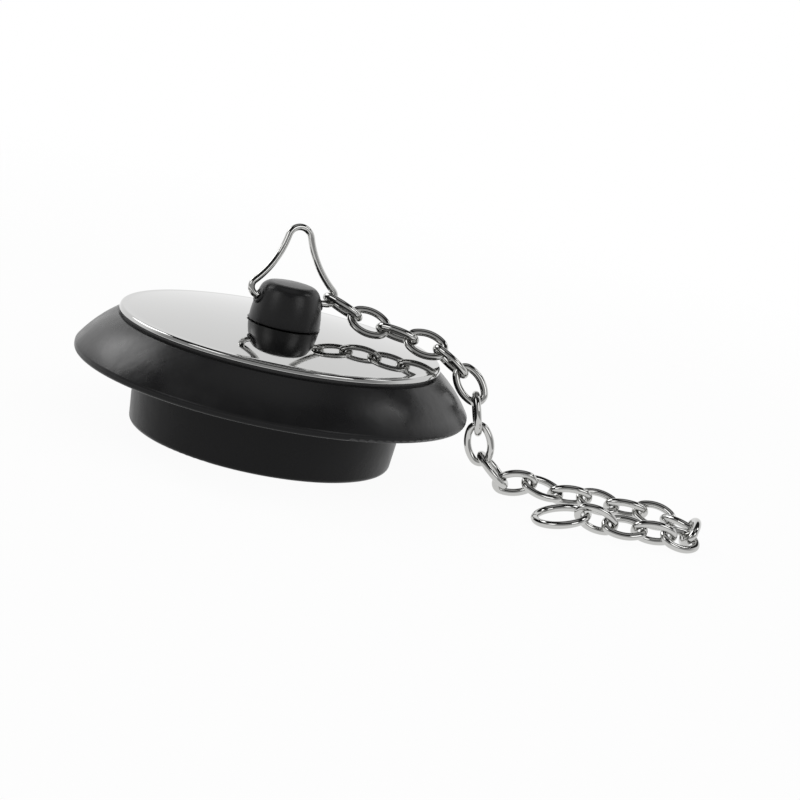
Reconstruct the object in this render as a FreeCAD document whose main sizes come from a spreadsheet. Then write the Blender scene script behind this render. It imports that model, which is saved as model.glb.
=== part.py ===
# Drain stopper: a rubber plug under a domed steel plate, with a wire bail, a chain and an end ring.
# Millimetres, +Z up. The origin is the centre of the plug's bottom edge, and the bail's pins lie along X.

import FreeCAD, Part
import math
import os
import Sketcher
from FreeCAD import Placement, Rotation, Vector

# Driving sizes
SIZES = {
    # Lower plug: wedges in the waste, and is cored out from below
    "plug_bottom_radius": 21.25,
    "plug_taper": 0.9,
    "plug_depth": 10.0,
    "plug_edge_round": 0.8,
    "core_wall": 4.0,
    "core_draft": 0.8,
    "core_depth": 10.5,
    "core_round": 2.0,
    # Flange: a hollow-swept skirt with a rounded rim, which starts just outside the plate
    "flange_overhang": 0.1,
    "flange_width": 5.7,
    "flange_rise": 6.85,
    "flange_rim": 1.1,
    "flange_rim_round": 0.6,
    "flange_sweep": 20.0,
    "flange_top_round": 0.3,
    "flange_root_round": 0.8,
    "neck_inset": 0.6,
    "neck_height": 0.6,
    # Plate: a domed pressing with a rolled edge
    "plate_radius": 26.0,
    "plate_edge": 1.05,
    "plate_edge_round": 0.35,
    "plate_bead": 1.8,
    "plate_step": 0.2,
    "plate_crown": 1.15,
    "plate_sheet": 0.6,
    "plate_lip": 1.3,
    "plate_seat_clearance": 0.05,
    "stem_clearance": 0.2,
    # Knob: moulded with the plug, buttoned through the plate
    "stem_radius": 4.0,
    "knob_base_radius": 5.75,
    "knob_top_radius": 4.4,
    "knob_height": 6.3,
    "knob_crown": 0.3,
    "knob_side": 17.0,
    "knob_round": 1.9,
    # Bail: one bent wire, sprung into the knob's cross hole
    "bail_wire": 1.1,
    "bail_bore_clearance": 0.05,
    "bail_pin_depth": 2.35,
    "bail_pin_length": 4.1,
    "bail_knob_gap": 0.15,
    "bail_corner_round": 1.3,
    "bail_height": 11.6,
    "bail_apex_round": 2.0,
    "bail_leg_bow": 16.0,
    "bail_slide": 0.6,
    # Chain and end ring
    "link_length": 7.4,
    "link_width": 4.9,
    "link_wire": 1.2,
    "link_crown": 1.45,
    "link_play": 0.1,
    "link_slack": 0.3,
    "ring_diameter": 9.4,
    "ring_wire": 1.2,
    "ring_split": 0.25,
    "chain_clearance": 0.3,
    "floor_clearance": 0.05,
}

# Lean of the bail from upright, in degrees
BAIL_LEAN = 12

# Attitude of each link as it lies: heading, steepest slope and roll, in degrees.
# A link that meets the plate, the flange or the floor lies less steep.
HANGING_LINKS = [
    (-32, 20, -25),
    (-33, 12, 61),
    (-32, 8, -29),
    (-33, 10, 60),
    (-35, 30, -28),
    (-38, 46, 66),
    (-40, 74, -18),
    (-38, 70, 81),
    (-34, 42, 1),
]
LYING_SLOPE = 60
LYING_LINKS = [
    (-27, LYING_SLOPE, -70),
    (-20, LYING_SLOPE, 28),
    (-26, LYING_SLOPE, -54),
    (-22, LYING_SLOPE, 39),
    (-28, LYING_SLOPE, -46),
    (-46, LYING_SLOPE, 50),
    (-72, LYING_SLOPE, -39),
    (-122, LYING_SLOPE, 64),
    (-177, LYING_SLOPE, -33),
    (-203, LYING_SLOPE, 59),
    (-201, LYING_SLOPE, -30),
    (-200, LYING_SLOPE, 68),
]
LYING_LEAN = 45
RING_ATTITUDE = (-205, LYING_SLOPE, -3)
FLATTEST_SLOPE = -60
SLOPE_TRIALS = 14
LOOP_FEET = 32

X_AXIS, Y_AXIS, Z_AXIS = Vector(1, 0, 0), Vector(0, 1, 0), Vector(0, 0, 1)

doc = FreeCAD.newDocument("DrainStopper")
sheet = doc.addObject("Spreadsheet::Sheet", "Sizes")


class Size:
    """A length from the sheet, or a sum of such lengths, with the expression that follows it."""

    def __init__(self, value, text):
        self.value = value
        self.text = text

    def __add__(self, other):
        return Size(self.value + other.value, f"({self.text} + {other.text})")

    def __sub__(self, other):
        return Size(self.value - other.value, f"({self.text} - {other.text})")

    def __mul__(self, other):
        if not isinstance(other, Size):
            other = Size(other, str(other))
        return Size(self.value * other.value, f"({self.text} * {other.text})")

    def __truediv__(self, other):
        if not isinstance(other, Size):
            other = Size(other, str(other))
        return Size(self.value / other.value, f"({self.text} / {other.text})")


def root(square):
    return Size(math.sqrt(square.value), f"sqrt({square.text})")


class Sizes:
    """The sheet's sizes by name."""


for row, (alias, number) in enumerate(SIZES.items(), start=1):
    sheet.set(f"A{row}", alias)
    sheet.set(f"B{row}", str(number))
    sheet.setAlias(f"B{row}", alias)
    setattr(Sizes, alias, Size(number, f"Sizes.{alias}"))
ZERO = Size(0, "0")
doc.recompute()


# Sketch helpers


def origin_plane(body, role):
    return next(feature for feature in body.Origin.OriginFeatures if feature.Role == role)


def new_sketch(body, name, role):
    sketch = body.newObject("Sketcher::SketchObject", name)
    sketch.AttachmentSupport = [(origin_plane(body, role), "")]
    sketch.MapMode = "FlatFace"
    return sketch


def bind(sketch, constraint, size):
    index = sketch.addConstraint(constraint)
    sketch.setExpression(f"Constraints[{index}]", size.text)


def pin(sketch, curve, vertex, x, y):
    """Holds one vertex of a curve at a place given in sizes."""
    for kind, axis, size in (("DistanceX", -2, x), ("DistanceY", -1, y)):
        if size.value == 0:
            sketch.addConstraint(Sketcher.Constraint("PointOnObject", curve, vertex, axis))
        elif size.value > 0:
            bind(sketch, Sketcher.Constraint(kind, -1, 1, curve, vertex, size.value), size)
        else:
            back = ZERO - size
            bind(sketch, Sketcher.Constraint(kind, curve, vertex, -1, 1, back.value), back)


def vertex_at(sketch, curve, point):
    """1 or 2: the end of a curve that lies at a point."""
    return min((1, 2), key=lambda vertex: sketch.getPoint(curve, vertex).distanceToPoint(point))


def bowed_edge(start, end, radius, side):
    """Arc between two points, bowed to the right (1) or the left (-1) of the way it runs."""
    chord = end - start
    half = chord.Length / 2
    rise = radius - math.sqrt(radius**2 - half**2)
    across = Vector(chord.y, -chord.x, 0).normalize()
    return Part.Arc(start, (start + end) / 2 + across * (rise * side), end)


def draw_outline(sketch, corners):
    """Closed outline. A corner is x and y, then the radius and side of a bowed edge that leaves it."""
    points = [Vector(corner[0].value, corner[1].value, 0) for corner in corners]
    for index, corner in enumerate(corners):
        start, end = points[index], points[(index + 1) % len(points)]
        if len(corner) > 2:
            sketch.addGeometry(bowed_edge(start, end, corner[2].value, corner[3]))
        else:
            sketch.addGeometry(Part.LineSegment(start, end))
    for index, corner in enumerate(corners):
        following = (index + 1) % len(corners)
        leave = vertex_at(sketch, following, points[following])
        arrive = vertex_at(sketch, index, points[following])
        sketch.addConstraint(Sketcher.Constraint("Coincident", index, arrive, following, leave))
    for index, corner in enumerate(corners):
        pin(sketch, index, vertex_at(sketch, index, points[index]), corner[0], corner[1])
        if len(corner) > 2:
            bind(sketch, Sketcher.Constraint("Radius", index, corner[2].value), corner[2])


def draw_circle(sketch, x, y, radius):
    sketch.addGeometry(Part.Circle(Vector(x.value, y.value, 0), Z_AXIS, radius.value))
    pin(sketch, 0, 3, x, y)
    bind(sketch, Sketcher.Constraint("Radius", 0, radius.value), radius)


def draw_bent_wire(sketch, curves, fixed_vertices, radii):
    """Centreline of a bent wire: tangent lines and arcs, held at some vertices and radii."""
    for curve in curves:
        sketch.addGeometry(curve)
    closed = curves[0].StartPoint.distanceToPoint(curves[-1].EndPoint) == 0
    for index in range(len(curves) if closed else len(curves) - 1):
        following = (index + 1) % len(curves)
        joint = curves[index].EndPoint
        ends = vertex_at(sketch, index, joint), vertex_at(sketch, following, joint)
        sketch.addConstraint(Sketcher.Constraint("Tangent", index, ends[0], following, ends[1]))
    for index, vertex, x, y in fixed_vertices:
        pin(sketch, index, vertex, x, y)
    for index, radius in radii:
        bind(sketch, Sketcher.Constraint("Radius", index, radius.value), radius)


def revolve(body, sketch):
    turned = body.newObject("PartDesign::Revolution", "Turned")
    turned.Profile = sketch
    turned.ReferenceAxis = (sketch, ["V_Axis"])
    turned.Angle = 360
    doc.recompute()
    return turned


# Two circles that differ by less than this are the same edge
SAME_PLACE = 1e-6


def round_edges(body, places, radius, name):
    """Rounds the circular edges that lie at the given radius and height."""
    base = body.Tip
    names = []
    for across, height in places:
        for index, edge in enumerate(base.Shape.Edges, start=1):
            if edge.Degenerated or not isinstance(edge.Curve, Part.Circle):
                continue
            curve = edge.Curve
            if abs(curve.Radius - across.value) + abs(curve.Center.z - height.value) < SAME_PLACE:
                names.append(f"Edge{index}")
    fillet = body.newObject("PartDesign::Fillet", name)
    fillet.Base = (base, names)
    fillet.setExpression("Radius", radius.text)
    doc.recompute()


def sweep_wire(body, section, path):
    wire = body.newObject("PartDesign::AdditivePipe", "Wire")
    wire.Profile = section
    wire.Spine = (path, [f"Edge{index + 1}" for index in range(path.GeometryCount)])
    doc.recompute()


# Radii and heights that several pieces share
flange_top_radius = Sizes.plate_radius + Sizes.flange_overhang
flange_radius = flange_top_radius + Sizes.flange_width
neck_radius = Sizes.plate_radius - Sizes.neck_inset
flange_top = Sizes.plug_depth + Sizes.flange_rise
plate_seat = flange_top + Sizes.neck_height
plate_rim = plate_seat + Sizes.plate_edge
plate_top = plate_rim + Sizes.plate_crown
knob_base = plate_top + Sizes.plate_seat_clearance
knob_top = knob_base + Sizes.knob_height
bail_axis = knob_top - Sizes.bail_pin_depth


def dome_radius(reach, rise):
    """Radius of a dome that rises this far over this reach."""
    return (reach * reach + rise * rise) / (rise * 2)


def dome_height(crown, radius, reach):
    """Height of a dome's surface at a distance from its axis."""
    return crown - radius + root(radius * radius - reach * reach)


# Plate: the dome starts a small step below the rolled edge, and its hole clears the knob's stem
bead_inner = Sizes.plate_radius - Sizes.plate_bead
lip_inner = Sizes.plate_radius - Sizes.plate_lip
hole_radius = Sizes.stem_radius + Sizes.stem_clearance
plate_dome = dome_radius(bead_inner, Sizes.plate_crown + Sizes.plate_step)
plate_under = plate_top - Sizes.plate_sheet
under_dome = plate_dome - Sizes.plate_sheet
bead_foot = Sizes.plate_radius - Sizes.plate_edge_round
# The bead's arc, as a share of its width
bead_arc_share = 0.667


def make_plate():
    body = doc.addObject("PartDesign::Body", "Plate")
    body.Label = "top_plate"
    sketch = new_sketch(body, "PlateSection", "XZ_Plane")
    draw_outline(sketch, [
        (lip_inner, plate_seat),
        (bead_foot, plate_seat, Sizes.plate_edge_round, 1),
        (Sizes.plate_radius, plate_seat + Sizes.plate_edge_round, Sizes.plate_bead * bead_arc_share, 1),
        (bead_inner, plate_rim - Sizes.plate_step, plate_dome, 1),
        (hole_radius, dome_height(plate_top, plate_dome, hole_radius)),
        (hole_radius, dome_height(plate_under, under_dome, hole_radius), under_dome, -1),
        (lip_inner, dome_height(plate_under, under_dome, lip_inner)),
    ])
    revolve(body, sketch)
    return body


# Plug: lower plug, flange, neck, stem and knob in one moulding
plug_top_radius = Sizes.plug_bottom_radius + Sizes.plug_taper
core_mouth = Sizes.plug_bottom_radius - Sizes.core_wall
core_top = core_mouth - Sizes.core_draft
rim_top = Sizes.plug_depth + Sizes.flange_rim
seat_inner = lip_inner - Sizes.stem_clearance
top_crown = plate_under - Sizes.plate_seat_clearance
top_dome = dome_radius(seat_inner, top_crown - plate_seat)
knob_dome = dome_radius(Sizes.knob_top_radius, Sizes.knob_crown)


def make_plug():
    body = doc.addObject("PartDesign::Body", "Plug")
    body.Label = "rubber_plug"
    sketch = new_sketch(body, "PlugSection", "XZ_Plane")
    draw_outline(sketch, [
        (core_mouth, ZERO),
        (Sizes.plug_bottom_radius, ZERO),
        (plug_top_radius, Sizes.plug_depth),
        (flange_radius, Sizes.plug_depth),
        (flange_radius, rim_top, Sizes.flange_sweep, 1),
        (flange_top_radius, flange_top),
        (neck_radius, flange_top),
        (neck_radius, plate_seat),
        (seat_inner, plate_seat, top_dome, 1),
        (Sizes.stem_radius, dome_height(top_crown, top_dome, Sizes.stem_radius)),
        (Sizes.stem_radius, knob_base),
        (Sizes.knob_base_radius, knob_base, Sizes.knob_side, 1),
        (Sizes.knob_top_radius, knob_top, knob_dome, 1),
        (ZERO, knob_top + Sizes.knob_crown),
        (ZERO, Sizes.core_depth),
        (core_top, Sizes.core_depth),
    ])
    revolve(body, sketch)
    round_edges(body, [(Sizes.plug_bottom_radius, ZERO)], Sizes.plug_edge_round, "PlugEdge")
    round_edges(body, [(plug_top_radius, Sizes.plug_depth)], Sizes.flange_root_round, "FlangeRoot")
    rim_edges = [(flange_radius, Sizes.plug_depth), (flange_radius, rim_top)]
    round_edges(body, rim_edges, Sizes.flange_rim_round, "FlangeRim")
    round_edges(body, [(flange_top_radius, flange_top)], Sizes.flange_top_round, "FlangeTop")
    round_edges(body, [(Sizes.knob_top_radius, knob_top)], Sizes.knob_round, "KnobTop")
    round_edges(body, [(core_top, Sizes.core_depth)], Sizes.core_round, "CoreTop")

    bore = new_sketch(body, "CrossHoleSection", "YZ_Plane")
    draw_circle(bore, ZERO, bail_axis, Sizes.bail_wire / 2 + Sizes.bail_bore_clearance)
    doc.recompute()
    whole = body.Shape.Volume
    hole = body.newObject("PartDesign::Pocket", "CrossHole")
    hole.Profile = bore
    hole.Type = "ThroughAll"
    hole.Midplane = True
    doc.recompute()
    if body.Shape.Volume >= whole:
        raise RuntimeError("the cross hole cuts nothing")
    return body


# Bail: pins, corner bends and legs of one wire, drawn round the pin axis
corner_reach = Sizes.knob_base_radius + Sizes.bail_knob_gap
pin_end = corner_reach - Sizes.bail_pin_length
apex_centre = Sizes.bail_height - Sizes.bail_apex_round


def make_bail():
    body = doc.addObject("PartDesign::Body", "Bail")
    body.Label = "bail"
    corner, apex, bow = [
        size.value for size in (Sizes.bail_corner_round, Sizes.bail_apex_round, Sizes.bail_leg_bow)
    ]
    corner_point, apex_point = Vector(corner_reach.value, corner, 0), Vector(0, apex_centre.value, 0)
    # The leg bows in between its bends, so it touches both from outside
    span = corner_point - apex_point
    along = ((bow + apex) ** 2 - (bow + corner) ** 2 + span.Length**2) / (2 * span.Length)
    out = math.sqrt((bow + apex) ** 2 - along**2)
    span.normalize()
    bow_point = apex_point + span * along + Vector(-span.y, span.x, 0) * out
    low_normal, high_normal = bow_point - corner_point, bow_point - apex_point
    low_normal.normalize()
    high_normal.normalize()
    leg_low, leg_high = corner_point + low_normal * corner, apex_point + high_normal * apex
    leg_middle = bow_point - (low_normal + high_normal).normalize() * bow
    corner_side = corner_point + Vector(corner, 0, 0)
    pin_out, pin_in = Vector(corner_reach.value, 0, 0), Vector(pin_end.value, 0, 0)

    def left(point):
        return Vector(-point.x, point.y, 0)

    path = new_sketch(body, "BailPath", "XZ_Plane")
    curves = [
        Part.LineSegment(left(pin_in), left(pin_out)),
        Part.Arc(left(pin_out), left(corner_side), left(leg_low)),
        Part.Arc(left(leg_low), left(leg_middle), left(leg_high)),
        Part.Arc(left(leg_high), Vector(0, Sizes.bail_height.value, 0), leg_high),
        Part.Arc(leg_high, leg_middle, leg_low),
        Part.Arc(leg_low, corner_side, pin_out),
        Part.LineSegment(pin_out, pin_in),
    ]
    draw_bent_wire(
        path,
        curves,
        [
            (0, 1, ZERO - pin_end, ZERO),
            (0, 2, ZERO - corner_reach, ZERO),
            (3, 3, ZERO, apex_centre),
            (6, 1, corner_reach, ZERO),
            (6, 2, pin_end, ZERO),
        ],
        [
            (1, Sizes.bail_corner_round),
            (2, Sizes.bail_leg_bow),
            (3, Sizes.bail_apex_round),
            (4, Sizes.bail_leg_bow),
            (5, Sizes.bail_corner_round),
        ],
    )
    section = new_sketch(body, "BailSection", "YZ_Plane")
    section.setExpression("AttachmentOffset.Base.z", (ZERO - pin_end).text)
    draw_circle(section, ZERO, ZERO, Sizes.bail_wire / 2)
    doc.recompute()
    sweep_wire(body, section, path)
    lean = Rotation(X_AXIS, -BAIL_LEAN)
    body.Placement = Placement(Vector(Sizes.bail_slide.value, 0, bail_axis.value), lean)
    outward = low_normal - Y_AXIS
    return body, Vector(outward.x, 0, outward.y).normalize()


# Chain: each piece hooks over the far crown of the one before
half_length = (Sizes.link_length - Sizes.link_wire) / 2
half_width = (Sizes.link_width - Sizes.link_wire) / 2
crown_reach = half_length - Sizes.link_crown
# The bowed side touches both crowns from outside
side_round = (
    half_length * half_length + half_width * half_width - half_length * Sizes.link_crown * 2
) / ((half_width - Sizes.link_crown) * 2)
ring_round = (Sizes.ring_diameter - Sizes.ring_wire) / 2
lying_height = (
    Sizes.link_wire.value / 2
    + half_width.value * math.sin(math.radians(LYING_LEAN))
    + Sizes.floor_clearance.value
)


class Crown:
    """The bend of wire that the next piece hooks over, and the way that it faces."""

    def __init__(self, wire, radius, centre, normal, facing):
        self.wire = wire.value
        self.radius = radius.value
        self.centre = centre
        self.normal = normal
        self.facing = facing


class Loop:
    """Form of a chain piece: its centreline along X, and the lowest height of its far end."""

    def __init__(self, wire, reach, radius, curves, tip_height):
        self.wire = wire.value
        self.reach = reach.value
        self.radius = radius.value
        self.centreline = Part.Wire([curve.toShape() for curve in curves])
        self.feet = self.centreline.discretize(LOOP_FEET)
        self.tip = Vector(self.reach + self.radius, 0, 0)
        self.tip_height = tip_height
        pitch = self.tip.x * 2 - self.wire
        self.next_place = Placement(Vector(pitch, 0, 0), Rotation(X_AXIS, 90))


def across_crown(normal, pull):
    """Direction, in a crown's plane, from its centre to the point that takes the pull."""
    return (pull - normal * pull.dot(normal)).normalize()


def attitude_rotation(heading, slope, roll):
    return Rotation(Z_AXIS, heading) * Rotation(Y_AXIS, slope) * Rotation(X_AXIS, roll)


def hook_over(crown, loop, rotation, gap):
    """Placement of a loop hooked over a crown, and the point and tangent of the wire that carries it."""
    facing, normal = rotation * X_AXIS, rotation * Z_AXIS
    pull = (crown.facing + facing).normalize()
    seat = crown.centre + across_crown(crown.normal, pull) * crown.radius
    near = seat - pull * ((crown.wire + loop.wire) / 2 + gap)
    centre = near + across_crown(normal, pull) * loop.radius + facing * loop.reach
    return Placement(centre, rotation), seat, pull.cross(crown.normal).normalize()


def steepest_slope(wanted, is_free):
    """The wanted slope, or the steepest one below it that leaves a piece free."""
    if is_free(wanted):
        return wanted
    free, held = FLATTEST_SLOPE, wanted
    for _ in range(SLOPE_TRIALS):
        middle = (free + held) / 2
        if is_free(middle):
            free = middle
        else:
            held = middle
    return free


def lay_loop(crown, loop, attitude, gap, obstacle):
    """Lets a loop fall from a crown until it lies on the floor, or until it or a loop straight on
    from it meets the stopper."""
    heading, wanted, roll = attitude
    clear = loop.wire / 2 + Sizes.chain_clearance.value
    lowest = loop.wire / 2 + Sizes.floor_clearance.value

    def hooked(slope):
        return hook_over(crown, loop, attitude_rotation(heading, slope, roll), gap.value)

    def is_free(slope):
        placement = hooked(slope)[0]
        if placement.multVec(loop.tip).z < loop.tip_height:
            return False
        if min(placement.multVec(foot).z for foot in loop.feet) < lowest:
            return False
        for place in (placement, placement.multiply(loop.next_place)):
            line = loop.centreline.copy()
            line.Placement = place
            if line.distToShape(obstacle)[0] < clear:
                return False
        return True

    return hooked(steepest_slope(wanted, is_free))


def link_curves():
    reach, side = crown_reach.value, side_round.value
    tip, flank = Vector(half_length.value, 0, 0), Vector(0, half_width.value, 0)
    side_centre = flank - Y_AXIS * side
    high_right = side_centre + (Vector(reach, 0, 0) - side_centre).normalize() * side
    high_left = Vector(-high_right.x, high_right.y, 0)
    return [
        Part.Arc(-high_right, -flank, -high_left),
        Part.Arc(-high_left, tip, high_right),
        Part.Arc(high_right, flank, high_left),
        Part.Arc(high_left, -tip, -high_right),
    ]


def make_link(number):
    body = doc.addObject("PartDesign::Body", f"Link{number:02d}")
    body.Label = f"link_{number:02d}"
    path = new_sketch(body, f"LinkPath{number:02d}", "XY_Plane")
    centres = [(1, 3, crown_reach, ZERO), (3, 3, ZERO - crown_reach, ZERO)]
    radii = [(0, side_round), (1, Sizes.link_crown), (2, side_round), (3, Sizes.link_crown)]
    draw_bent_wire(path, link_curves(), centres, radii)
    section = new_sketch(body, f"LinkSection{number:02d}", "YZ_Plane")
    draw_circle(section, ZERO - half_width, ZERO, Sizes.link_wire / 2)
    doc.recompute()
    sweep_wire(body, section, path)
    return body


def make_ring():
    """A jump ring whose ends nearly meet, on the side away from the chain."""
    body = doc.addObject("PartDesign::Body", "EndRing")
    body.Label = "end_ring"
    section = new_sketch(body, "RingSection", "XZ_Plane")
    draw_circle(section, ZERO - ring_round, ZERO, Sizes.ring_wire / 2)
    ring = body.newObject("PartDesign::Revolution", "Ring")
    ring.Profile = section
    ring.ReferenceAxis = (section, ["V_Axis"])
    ring.Midplane = True
    ring.setExpression("Angle", f"360 - ({Sizes.ring_split.text} / {ring_round.text}) * 180 / pi")
    doc.recompute()
    return body


def make_chain(crown, obstacle):
    """All links and the ring, laid one after another. Returns them with the wire that carries each."""
    link_form = Loop(Sizes.link_wire, crown_reach, Sizes.link_crown, link_curves(), lying_height)
    ring_line = Part.Circle(Vector(), Z_AXIS, ring_round.value)
    ring_form = Loop(Sizes.ring_wire, ZERO, ring_round, [ring_line], Sizes.ring_wire.value / 2)
    pieces, carriers = [], []
    for index, attitude in enumerate(HANGING_LINKS + LYING_LINKS):
        gap = Sizes.link_play if index < len(HANGING_LINKS) else Sizes.link_slack
        placement, seat, tangent = lay_loop(crown, link_form, attitude, gap, obstacle)
        link = make_link(index + 1)
        link.Placement = placement
        pieces.append(link)
        carriers.append((seat, tangent))
        far_centre = placement.multVec(Vector(crown_reach.value, 0, 0))
        turn = placement.Rotation
        crown = Crown(Sizes.link_wire, Sizes.link_crown, far_centre, turn * Z_AXIS, turn * X_AXIS)
    placement, seat, tangent = lay_loop(crown, ring_form, RING_ATTITUDE, Sizes.link_slack, obstacle)
    ring = make_ring()
    ring.Placement = placement
    return pieces + [ring], carriers + [(seat, tangent)]


plug = make_plug()
plate = make_plate()
bail, corner_facing = make_bail()

corner_centre = Vector(corner_reach.value, 0, Sizes.bail_corner_round.value)
bail_turn = bail.Placement.Rotation
first_crown = Crown(
    Sizes.bail_wire,
    Sizes.bail_corner_round,
    bail.Placement.multVec(corner_centre),
    bail_turn * Y_AXIS,
    bail_turn * corner_facing,
)
stopper = Part.makeCompound([plug.Shape, plate.Shape])
chain, chain_carriers = make_chain(first_crown, stopper)
nodes = [plug, plate, bail] + chain
doc.recompute()

for item in doc.Objects:
    if "Invalid" in item.State or "Error" in item.State:
        raise RuntimeError(f"{item.Label} failed to build")
for node in nodes:
    if node.Shape.isNull() or not node.Shape.isValid() or len(node.Shape.Solids) != 1:
        raise RuntimeError(f"{node.Label} is not one sound solid")

os.makedirs("parts", exist_ok=True)
for node in nodes:
    node.Shape.exportStep(f"parts/{node.Label}.step")
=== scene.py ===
# Drain stopper on a white table: rubber plug, polished plate, wire bail, link chain and end ring.
# Metres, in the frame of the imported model.

import math

import bmesh
import bpy
from mathutils import Matrix, Vector


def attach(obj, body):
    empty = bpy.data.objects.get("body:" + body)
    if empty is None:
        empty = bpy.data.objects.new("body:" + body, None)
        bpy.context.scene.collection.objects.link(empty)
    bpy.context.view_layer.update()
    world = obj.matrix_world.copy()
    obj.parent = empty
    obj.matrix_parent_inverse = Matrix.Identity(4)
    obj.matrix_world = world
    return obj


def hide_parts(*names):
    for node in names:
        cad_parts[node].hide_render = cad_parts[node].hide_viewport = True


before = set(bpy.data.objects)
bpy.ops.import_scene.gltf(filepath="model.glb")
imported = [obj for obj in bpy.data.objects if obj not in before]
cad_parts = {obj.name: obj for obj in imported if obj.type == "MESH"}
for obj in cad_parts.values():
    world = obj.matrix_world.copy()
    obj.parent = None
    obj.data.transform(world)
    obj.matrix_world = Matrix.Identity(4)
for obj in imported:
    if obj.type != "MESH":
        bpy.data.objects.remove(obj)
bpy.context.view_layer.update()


# Rubber plug: one black moulding of flange, tapered lower plug, neck and knob.
# It is pressed in a steel mould and pulled out warm, so its skin has a fine grain and slight waves.
# The flange and knob shine from a polished half of the mould, and the lower plug is matte for grip.

MM = 0.001
RUBBER_BLACK = "#151516"
RUBBER_BLOOM = "#212122"
MATTE_TOP = 10.6 * MM
POLISHED_START = 12.4 * MM

# The skin's patterns. The grain is drawn coarser than the real one, so that it shows.

RUBBER_PATCH_MM = 11
RUBBER_WAVE_MM = 4
RUBBER_WAVE_DEPTH = 0.15 * MM
RUBBER_GRAIN_MM = 0.5
RUBBER_GRAIN_DEPTH = 0.03 * MM


def linear(hex_colour):
    """Linear RGBA of an sRGB hex colour."""
    parts = [int(hex_colour[start:start + 2], 16) / 255 for start in (1, 3, 5)]
    bent = [
        part / 12.92 if part <= 0.04045 else ((part + 0.055) / 1.055) ** 2.4
        for part in parts
    ]
    return (*bent, 1.0)


def add_node(tree, kind, inputs=(), **settings):
    """Adds a node with its settings, and its inputs as values or links."""
    node = tree.nodes.new(kind)
    for name, value in settings.items():
        setattr(node, name, value)
    for name, value in dict(inputs).items():
        if isinstance(value, bpy.types.NodeSocket):
            tree.links.new(value, node.inputs[name])
        else:
            node.inputs[name].default_value = value
    return node


def new_finish(name):
    """An empty material and its node tree."""
    material = bpy.data.materials.new(name)
    material.use_nodes = True
    material.node_tree.nodes.clear()
    return material, material.node_tree


def texture_scale(feature_mm):
    """Texture scale that gives features of this size in millimetres."""
    return 1 / (feature_mm * MM)


def moulded_rubber():
    """Moulded rubber: soft, broad highlights on the flange and knob, and almost none below."""
    material, tree = new_finish("moulded_rubber")
    place = add_node(tree, "ShaderNodeTexCoord").outputs["Object"]
    patches = add_node(tree, "ShaderNodeTexNoise", {
        "Vector": place,
        "Scale": texture_scale(RUBBER_PATCH_MM),
        "Detail": 4.0,
        "Roughness": 0.55,
    })
    waves = add_node(tree, "ShaderNodeTexNoise", {
        "Vector": place,
        "Scale": texture_scale(RUBBER_WAVE_MM),
        "Detail": 2.0,
    })
    grain = add_node(tree, "ShaderNodeTexNoise", {
        "Vector": place,
        "Scale": texture_scale(RUBBER_GRAIN_MM),
        "Detail": 3.0,
    })
    tone = add_node(tree, "ShaderNodeMix", {
        "Factor": patches.outputs["Fac"],
        "A": linear(RUBBER_BLACK),
        "B": linear(RUBBER_BLOOM),
    }, data_type="RGBA")
    sheen = add_node(tree, "ShaderNodeMapRange", {
        "Value": patches.outputs["Fac"],
        "From Min": 0.3,
        "From Max": 0.7,
        "To Min": 0.2,
        "To Max": 0.38,
    })
    height = add_node(tree, "ShaderNodeSeparateXYZ", {"Vector": place})
    polish = add_node(tree, "ShaderNodeMapRange", {
        "Value": height.outputs["Z"],
        "From Min": MATTE_TOP,
        "From Max": POLISHED_START,
        "To Min": 0.12,
        "To Max": 0.34,
    })
    swell = add_node(tree, "ShaderNodeBump", {
        "Height": waves.outputs["Fac"],
        "Strength": 0.5,
        "Distance": RUBBER_WAVE_DEPTH,
    })
    relief = add_node(tree, "ShaderNodeBump", {
        "Height": grain.outputs["Fac"],
        "Strength": 0.25,
        "Distance": RUBBER_GRAIN_DEPTH,
        "Normal": swell.outputs["Normal"],
    })
    surface = add_node(tree, "ShaderNodeBsdfPrincipled", {
        "Base Color": tone.outputs["Result"],
        "Roughness": sheen.outputs["Result"],
        "IOR": 1.52,
        "Specular IOR Level": polish.outputs["Result"],
        "Normal": relief.outputs["Normal"],
    })
    add_node(tree, "ShaderNodeOutputMaterial", {"Surface": surface.outputs["BSDF"]})
    return material


def finish_node(name, material):
    """Gives a carried-over solid its finish."""
    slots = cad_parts[name].data.materials
    slots.clear()
    slots.append(material)


rubber_finish = moulded_rubber()
finish_node("rubber_plug", rubber_finish)

# Raised lips of the same rubber, where the bail's two pins enter the knob's cross hole.

LIP_RADIUS = 1.05 * MM
LIP_ROUND = 0.3 * MM
LIP_STEPS = 48
LIP_ROUND_STEPS = 12
KNOB_SIDE = 5.08 * MM
KNOB_SIDE_SLOPE = math.radians(24)
PIN_HEIGHT = 23.65 * MM


def full_turn(steps):
    """Angles of equal steps round a circle."""
    return [2 * math.pi * step / steps for step in range(steps)]


def closed_ring(name, rows, material, smooth=True):
    """An object from closed sections of points, each joined to the next and the last to the first."""
    ring = bmesh.new()
    rows = [[ring.verts.new(point) for point in row] for row in rows]
    for step, row in enumerate(rows):
        after = rows[(step + 1) % len(rows)]
        for place in range(len(row)):
            further = (place + 1) % len(row)
            face = ring.faces.new((row[place], after[place], after[further], row[further]))
            face.smooth = smooth
    bmesh.ops.recalc_face_normals(ring, faces=ring.faces)
    mesh = bpy.data.meshes.new(name)
    ring.to_mesh(mesh)
    ring.free()
    mesh.materials.append(material)
    piece = bpy.data.objects.new(name, mesh)
    bpy.context.collection.objects.link(piece)
    return piece


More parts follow.
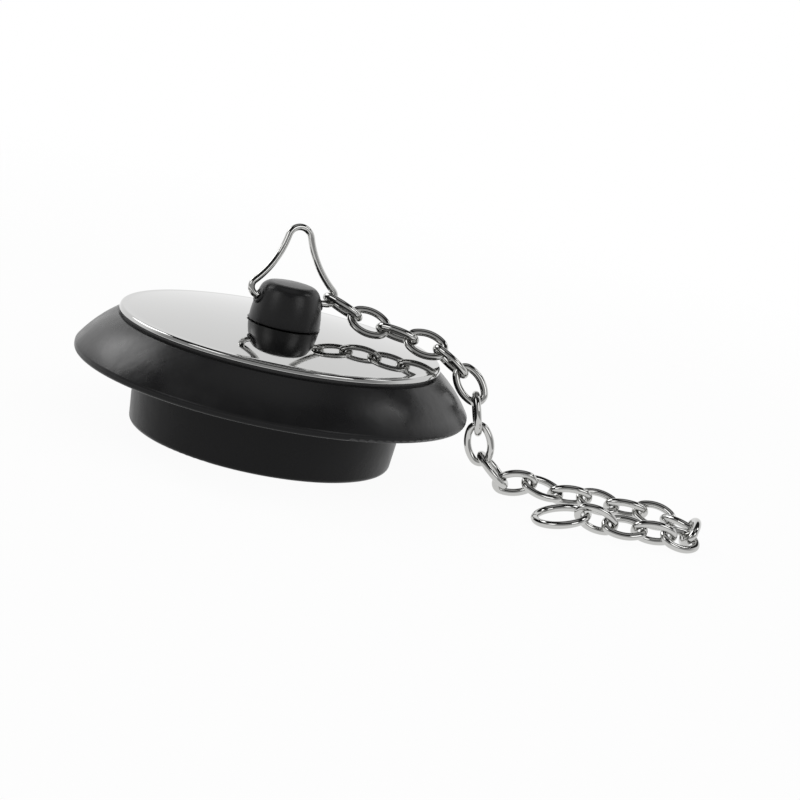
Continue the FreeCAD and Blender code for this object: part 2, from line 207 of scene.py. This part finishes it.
def wire_hole_lip(name, side):
    """A ring of rubber sunk by half in the knob's sloping side; side is +1 or -1 along X."""
    outward = Vector((side * math.cos(KNOB_SIDE_SLOPE), 0, math.sin(KNOB_SIDE_SLOPE)))
    upward = Vector((-side * math.sin(KNOB_SIDE_SLOPE), 0, math.cos(KNOB_SIDE_SLOPE)))
    sideways = outward.cross(upward)
    middle = Vector((side * KNOB_SIDE, 0, PIN_HEIGHT))
    rows = []
    for turn in full_turn(LIP_STEPS):
        ray = upward * math.cos(turn) + sideways * math.sin(turn)
        rows.append([
            middle
            + ray * (LIP_RADIUS + LIP_ROUND * math.cos(tilt))
            + outward * (LIP_ROUND * math.sin(tilt))
            for tilt in full_turn(LIP_ROUND_STEPS)
        ])
    lip = closed_ring(name, rows, rubber_finish)
    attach(lip, "plug")


wire_hole_lip("wire_hole_lip_right", 1)
wire_hole_lip("wire_hole_lip_left", -1)

# A torn edge of flash round the knob's foot, where the mould's two halves met.
# The heights of its section are shares of its thickness.
# Each wave of the torn edge is a count round the knob, a depth in millimetres and a start angle.

FLASH_INNER = 5.3 * MM
FLASH_REACH = 5.86 * MM
FLASH_FOOT = 19.71 * MM
FLASH_THICKNESS = 0.16 * MM
FLASH_EDGE_LOW = 0.2
FLASH_EDGE_HIGH = 0.6
FLASH_ROOT_HIGH = 1.6
FLASH_LIFT_SHARE = 0.5
FLASH_STEPS = 240
FLASH_WAVES = ((3, 0.05, 0.4), (7, 0.045, 1.9), (16, 0.03, 0.7), (29, 0.02, 2.6))


def torn_edge(turn):
    """How far the torn edge departs from its mean place at this angle."""
    return sum(depth * MM * math.sin(count * turn + start) for count, depth, start in FLASH_WAVES)


flash_rows = []
for turn in full_turn(FLASH_STEPS):
    reach = FLASH_REACH + torn_edge(turn)
    lift = FLASH_THICKNESS + FLASH_LIFT_SHARE * torn_edge(turn + math.pi / 2)
    section = (
        (FLASH_INNER, 0),
        (reach, FLASH_EDGE_LOW * lift),
        (reach, FLASH_EDGE_HIGH * lift),
        (FLASH_INNER, FLASH_ROOT_HIGH * lift),
    )
    flash_rows.append([
        (out * math.cos(turn), out * math.sin(turn), FLASH_FOOT + up) for out, up in section
    ])
knob_flash = closed_ring("knob_flash", flash_rows, rubber_finish, smooth=False)
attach(knob_flash, "plug")


# Top plate: a disc of stainless sheet, pressed to a low dome, turned down at its edge and mirror buffed.
# It sits on the rubber's shoulder with the knob's stem through its hole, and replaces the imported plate,
# whose edge is a plain rolled bead, because a mirror shows how the real sheet turns over.

STAINLESS_GREY = "#bfbfbe"
STAINLESS_HAZE_MM = 6

# Sizes of its half section in millimetres, and the steps of each stretch.

PLATE_RADIUS = 26.0
PLATE_SEAT = 17.45
PLATE_TOP = 19.65
PLATE_DOME = 217.6
PLATE_SHEET = 0.6
PLATE_HOLE = 4.2
PLATE_LIP = 0.6
PLATE_DOME_REACH = 24.3
PLATE_TURN_REACH = 25.3
PLATE_TURN_ROUND = 0.42
PLATE_SKIRT_LEAN = math.radians(14)
PLATE_FOOT_ROUND = 0.16
PLATE_DOME_STEPS = 40
PLATE_EASE_STEPS = 8
PLATE_TURN_STEPS = 14
PLATE_FOOT_STEPS = 6
PLATE_UNDER_STEPS = 12
PLATE_STEPS = 384


def polished_stainless():
    """Mirror-polished stainless steel: clear reflections with the faint haze of the buffing wheel."""
    material, tree = new_finish("polished_stainless")
    place = add_node(tree, "ShaderNodeTexCoord").outputs["Object"]
    haze = add_node(tree, "ShaderNodeTexNoise", {
        "Vector": place,
        "Scale": texture_scale(STAINLESS_HAZE_MM),
        "Detail": 5.0,
    })
    gloss = add_node(tree, "ShaderNodeMapRange", {
        "Value": haze.outputs["Fac"],
        "From Min": 0.3,
        "From Max": 0.7,
        "To Min": 0.02,
        "To Max": 0.05,
    })
    surface = add_node(tree, "ShaderNodeBsdfPrincipled", {
        "Base Color": linear(STAINLESS_GREY),
        "Metallic": 1.0,
        "Roughness": gloss.outputs["Result"],
    })
    add_node(tree, "ShaderNodeOutputMaterial", {"Surface": surface.outputs["BSDF"]})
    return material


def round_corner(before, corner, after, radius, steps):
    """Points of the arc that rounds a corner of an outline."""
    back = (before - corner).normalized()
    on = (after - corner).normalized()
    half_angle = back.angle(on) / 2
    centre = corner + (back + on).normalized() * (radius / math.sin(half_angle))
    start = (corner + back * (radius / math.tan(half_angle)) - centre).normalized()
    end = (corner + on * (radius / math.tan(half_angle)) - centre).normalized()
    return [centre + start.slerp(end, step / steps) * radius for step in range(steps + 1)]


def dome_height(reach, crown, radius):
    """Height of a dome's surface at a distance from its axis."""
    return crown - radius + math.sqrt(radius ** 2 - reach ** 2)


def plate_outline():
    """Half section of the plate in millimetres, from the hole over the top to the underside."""
    outline = []
    for step in range(PLATE_DOME_STEPS + 1):
        reach = PLATE_HOLE + (PLATE_DOME_REACH - PLATE_HOLE) * step / PLATE_DOME_STEPS
        outline.append(Vector((reach, dome_height(reach, PLATE_TOP, PLATE_DOME))))

    # Between the dome and the turn, the sheet eases to level.
    edge = outline[-1]
    slope = -PLATE_DOME_REACH / math.sqrt(PLATE_DOME ** 2 - PLATE_DOME_REACH ** 2)
    run = PLATE_TURN_REACH - edge.x
    for step in range(1, PLATE_EASE_STEPS + 1):
        share = step / PLATE_EASE_STEPS
        eased = edge.y + slope * run * (share - share ** 2 / 2)
        outline.append(Vector((edge.x + run * share, eased)))

    turn = outline[-1]
    skirt_run = (turn.y - PLATE_SEAT) * math.tan(PLATE_SKIRT_LEAN)
    shoulder = Vector((PLATE_RADIUS - skirt_run, turn.y))
    foot = Vector((PLATE_RADIUS, PLATE_SEAT))
    inner_foot = Vector((PLATE_RADIUS - PLATE_LIP, PLATE_SEAT))
    outline += round_corner(turn, shoulder, foot, PLATE_TURN_ROUND, PLATE_TURN_STEPS)
    outline += round_corner(shoulder, foot, inner_foot, PLATE_FOOT_ROUND, PLATE_FOOT_STEPS)
    outline.append(inner_foot)
    for step in range(PLATE_UNDER_STEPS + 1):
        reach = inner_foot.x + (PLATE_HOLE - inner_foot.x) * step / PLATE_UNDER_STEPS
        under = dome_height(reach, PLATE_TOP - PLATE_SHEET, PLATE_DOME - PLATE_SHEET)
        outline.append(Vector((reach, under)))
    return outline


plate_section = plate_outline()
plate_rows = [
    [
        (point.x * math.cos(turn) * MM, point.x * math.sin(turn) * MM, point.y * MM)
        for point in plate_section
    ]
    for turn in full_turn(PLATE_STEPS)
]
plate = closed_ring("polished_plate", plate_rows, polished_stainless())
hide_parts("top_plate")
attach(plate, "plug")


# Bail: one length of round steel wire, bent to a triangle and sprung into the knob's cross hole.
# It is plated bright like the chain. The die's marks are drawn coarser than the real ones, to show.

WIRE_BRIGHT = "#c2c2c0"
WIRE_MARK_MM = 1.2
WIRE_MARK_DEPTH = 0.02 * MM


def bright_wire():
    """Bright plated wire: sharp light and dark lines, a little broken by the drawing die's marks."""
    material, tree = new_finish("bright_wire")
    place = add_node(tree, "ShaderNodeTexCoord").outputs["Object"]
    marks = add_node(tree, "ShaderNodeTexNoise", {
        "Vector": place,
        "Scale": texture_scale(WIRE_MARK_MM),
        "Detail": 3.0,
    })
    gloss = add_node(tree, "ShaderNodeMapRange", {
        "Value": marks.outputs["Fac"],
        "From Min": 0.3,
        "From Max": 0.7,
        "To Min": 0.03,
        "To Max": 0.07,
    })
    relief = add_node(tree, "ShaderNodeBump", {
        "Height": marks.outputs["Fac"],
        "Strength": 0.2,
        "Distance": WIRE_MARK_DEPTH,
    })
    surface = add_node(tree, "ShaderNodeBsdfPrincipled", {
        "Base Color": linear(WIRE_BRIGHT),
        "Metallic": 1.0,
        "Roughness": gloss.outputs["Result"],
        "Normal": relief.outputs["Normal"],
    })
    add_node(tree, "ShaderNodeOutputMaterial", {"Surface": surface.outputs["BSDF"]})
    return material


wire_finish = bright_wire()
finish_node("bail", wire_finish)


# Chain and end ring: oval links of the same wire, each closed through the one before,
# and a round split ring that hooks on the overflow.

for node_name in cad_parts:
    if node_name.startswith("link_") or node_name == "end_ring":
        finish_node(node_name, wire_finish)


# Table: a sheet of white paper that the stopper stands on, which is stage and no piece of the part.
# It fades into the white room round it.

TABLE_RADIUS = 0.5
TABLE_FADE_START = 0.12
TABLE_FADE_END = 0.4
TABLE_STEPS = 96
PAPER_WHITE = "#f2f2f2"
PAPER_GLOW_SHARE = 0.95

table_mesh = bpy.data.meshes.new("table")
table_mesh.from_pydata(
    [
        (TABLE_RADIUS * math.cos(turn), TABLE_RADIUS * math.sin(turn), 0)
        for turn in full_turn(TABLE_STEPS)
    ],
    [], [list(range(TABLE_STEPS))],
)
table = bpy.data.objects.new("table", table_mesh)
bpy.context.collection.objects.link(table)


def white_paper():
    """White paper: near white to the eye and in the metal, still shaded under the stopper."""
    material, tree = new_finish("white_paper")
    place = add_node(tree, "ShaderNodeTexCoord").outputs["Object"]
    away = add_node(tree, "ShaderNodeVectorMath", {0: place}, operation="LENGTH")
    fade = add_node(tree, "ShaderNodeMapRange", {
        "Value": away.outputs["Value"],
        "From Min": TABLE_FADE_START,
        "From Max": TABLE_FADE_END,
    }, interpolation_type="SMOOTHSTEP")
    paper = add_node(tree, "ShaderNodeBsdfDiffuse", {"Color": linear(PAPER_WHITE)})
    glow = add_node(tree, "ShaderNodeEmission", {
        "Color": (1.0, 1.0, 1.0, 1.0),
        "Strength": 1.0,
    })
    rays = add_node(tree, "ShaderNodeLightPath")
    seen = add_node(tree, "ShaderNodeMath", {
        0: rays.outputs["Is Camera Ray"],
        1: rays.outputs["Is Glossy Ray"],
    }, operation="MAXIMUM")
    share = add_node(tree, "ShaderNodeMath", {
        0: seen.outputs[0],
        1: PAPER_GLOW_SHARE,
    }, operation="MULTIPLY")
    sheet = add_node(tree, "ShaderNodeMixShader", {
        "Fac": share.outputs[0],
        1: paper.outputs["BSDF"],
        2: glow.outputs["Emission"],
    })
    open_air = add_node(tree, "ShaderNodeBsdfTransparent")
    surface = add_node(tree, "ShaderNodeMixShader", {
        "Fac": fade.outputs["Result"],
        1: sheet.outputs["Shader"],
        2: open_air.outputs["BSDF"],
    })
    add_node(tree, "ShaderNodeOutputMaterial", {"Surface": surface.outputs["Shader"]})
    return material


table_mesh.materials.append(white_paper())


# Camera: the photograph's place, turned a little on its axis.
# The origin of the frame and the middle of the picture fix where it points.

PICTURE_SIDE_PX = 800
SENSOR_MM = 36.0
DISTANCE_MM = 300.0
SCALE_PX_PER_MM = 6.196
ORIGIN_PX = (259.5, 440.5)
AZIMUTH = math.radians(27.0)
ELEVATION = math.radians(12.30)
ROLL = math.radians(12.65)
CLIP_START = 0.01

look = Vector((
    math.sin(AZIMUTH) * math.cos(ELEVATION),
    math.cos(AZIMUTH) * math.cos(ELEVATION),
    -math.sin(ELEVATION),
))
level = Vector((math.cos(AZIMUTH), -math.sin(AZIMUTH), 0))
rise = level.cross(look)
picture_right = level * math.cos(ROLL) + rise * math.sin(ROLL)
picture_up = rise * math.cos(ROLL) - level * math.sin(ROLL)
offset_right = (ORIGIN_PX[0] - PICTURE_SIDE_PX / 2) / SCALE_PX_PER_MM * MM
offset_down = (ORIGIN_PX[1] - PICTURE_SIDE_PX / 2) / SCALE_PX_PER_MM * MM
eye = -look * (DISTANCE_MM * MM) - picture_right * offset_right + picture_up * offset_down

lens = bpy.data.cameras.new("camera")
lens.sensor_width = SENSOR_MM
lens.lens = SCALE_PX_PER_MM * DISTANCE_MM / PICTURE_SIDE_PX * SENSOR_MM
lens.clip_start = CLIP_START
camera = bpy.data.objects.new("camera", lens)
bpy.context.collection.objects.link(camera)
axes = Matrix((picture_right, picture_up, -look)).transposed().to_4x4()
camera.matrix_world = Matrix.Translation(eye) @ axes
bpy.context.scene.camera = camera


# Room: a white wall behind the stopper, a dimmer one behind the camera, and a dark ceiling with
# a skylight, which draw the light and dark lines in the bright metal. The camera itself sees
# white everywhere. Walls start at a depth along the camera's view, and the ceiling at a height.

ROOM_FILL = 0.5
FRONT_WALL_SHARE = 0.36
FRONT_WALL_START = -0.25
BACK_WALL_START = 0.3
BACK_WALL_SHARE = 1.0
WALL_TOP = math.sin(math.radians(30))
CEILING_EDGE = math.sin(math.radians(38))
CEILING_SHARE = 0.02
SKYLIGHT_START = math.sin(math.radians(66))
SKYLIGHT_EDGE = math.sin(math.radians(74))
SKYLIGHT_SHARE = 0.35

world = bpy.data.worlds.new("white_room")
bpy.context.scene.world = world
world.use_nodes = True
room = world.node_tree
room.nodes.clear()
room_rays = add_node(room, "ShaderNodeLightPath")
room_way = add_node(room, "ShaderNodeTexCoord").outputs["Generated"]
room_depth = add_node(room, "ShaderNodeVectorMath", {
    0: room_way,
    1: (math.sin(AZIMUTH), math.cos(AZIMUTH), 0.0),
}, operation="DOT_PRODUCT")
room_walls = add_node(room, "ShaderNodeMapRange", {
    "Value": room_depth.outputs["Value"],
    "From Min": FRONT_WALL_START,
    "From Max": BACK_WALL_START,
    "To Min": FRONT_WALL_SHARE,
    "To Max": BACK_WALL_SHARE,
}, interpolation_type="SMOOTHSTEP")
room_height = add_node(room, "ShaderNodeSeparateXYZ", {"Vector": room_way})
room_ceiling = add_node(room, "ShaderNodeMapRange", {
    "Value": room_height.outputs["Z"],
    "From Min": WALL_TOP,
    "From Max": CEILING_EDGE,
}, interpolation_type="SMOOTHSTEP")
room_skylight = add_node(room, "ShaderNodeMapRange", {
    "Value": room_height.outputs["Z"],
    "From Min": SKYLIGHT_START,
    "From Max": SKYLIGHT_EDGE,
    "To Min": CEILING_SHARE,
    "To Max": SKYLIGHT_SHARE,
}, interpolation_type="SMOOTHSTEP")
room_mirrored = add_node(room, "ShaderNodeMix", {
    "Factor": room_ceiling.outputs["Result"],
    "A": room_walls.outputs["Result"],
    "B": room_skylight.outputs["Result"],
})
room_level = add_node(room, "ShaderNodeMix", {
    "Factor": room_rays.outputs["Is Glossy Ray"],
    "A": ROOM_FILL,
    "B": room_mirrored.outputs["Result"],
})
room_shown = add_node(room, "ShaderNodeMix", {
    "Factor": room_rays.outputs["Is Camera Ray"],
    "A": room_level.outputs["Result"],
    "B": 1.0,
})
room_light = add_node(room, "ShaderNodeBackground", {
    "Color": (1.0, 1.0, 1.0, 1.0),
    "Strength": room_shown.outputs["Result"],
})
add_node(room, "ShaderNodeOutputWorld", {"Surface": room_light.outputs["Background"]})

# A soft box stands at each side of the camera, and one at each side behind the stopper.

STOPPER_MIDDLE = Vector((0.012, -0.008, 0.015))
LAMP_AWAY = 0.7


def soft_box(name, bearing, height, side, glow):
    """A square lamp that points at the stopper: bearing from the camera and height in degrees."""
    turn = AZIMUTH + math.pi + math.radians(bearing)
    lift = math.radians(height)
    ray = Vector((
        math.sin(turn) * math.cos(lift),
        math.cos(turn) * math.cos(lift),
        math.sin(lift),
    ))
    lamp = bpy.data.lights.new(name, "AREA")
    lamp.shape = "SQUARE"
    lamp.size = side
    lamp.energy = glow * math.pi * side ** 2
    box = bpy.data.objects.new(name, lamp)
    bpy.context.collection.objects.link(box)
    box.location = STOPPER_MIDDLE + ray * LAMP_AWAY
    box.rotation_euler = ray.to_track_quat("Z", "Y").to_euler()


soft_box("front_left_light", bearing=48, height=30, side=0.3, glow=1.7)
soft_box("front_right_light", bearing=-48, height=30, side=0.3, glow=1.7)
soft_box("back_left_light", bearing=116, height=34, side=0.32, glow=3.2)
soft_box("back_right_light", bearing=-108, height=48, side=0.16, glow=3.2)


bpy.context.scene.view_settings.view_transform = "Standard"
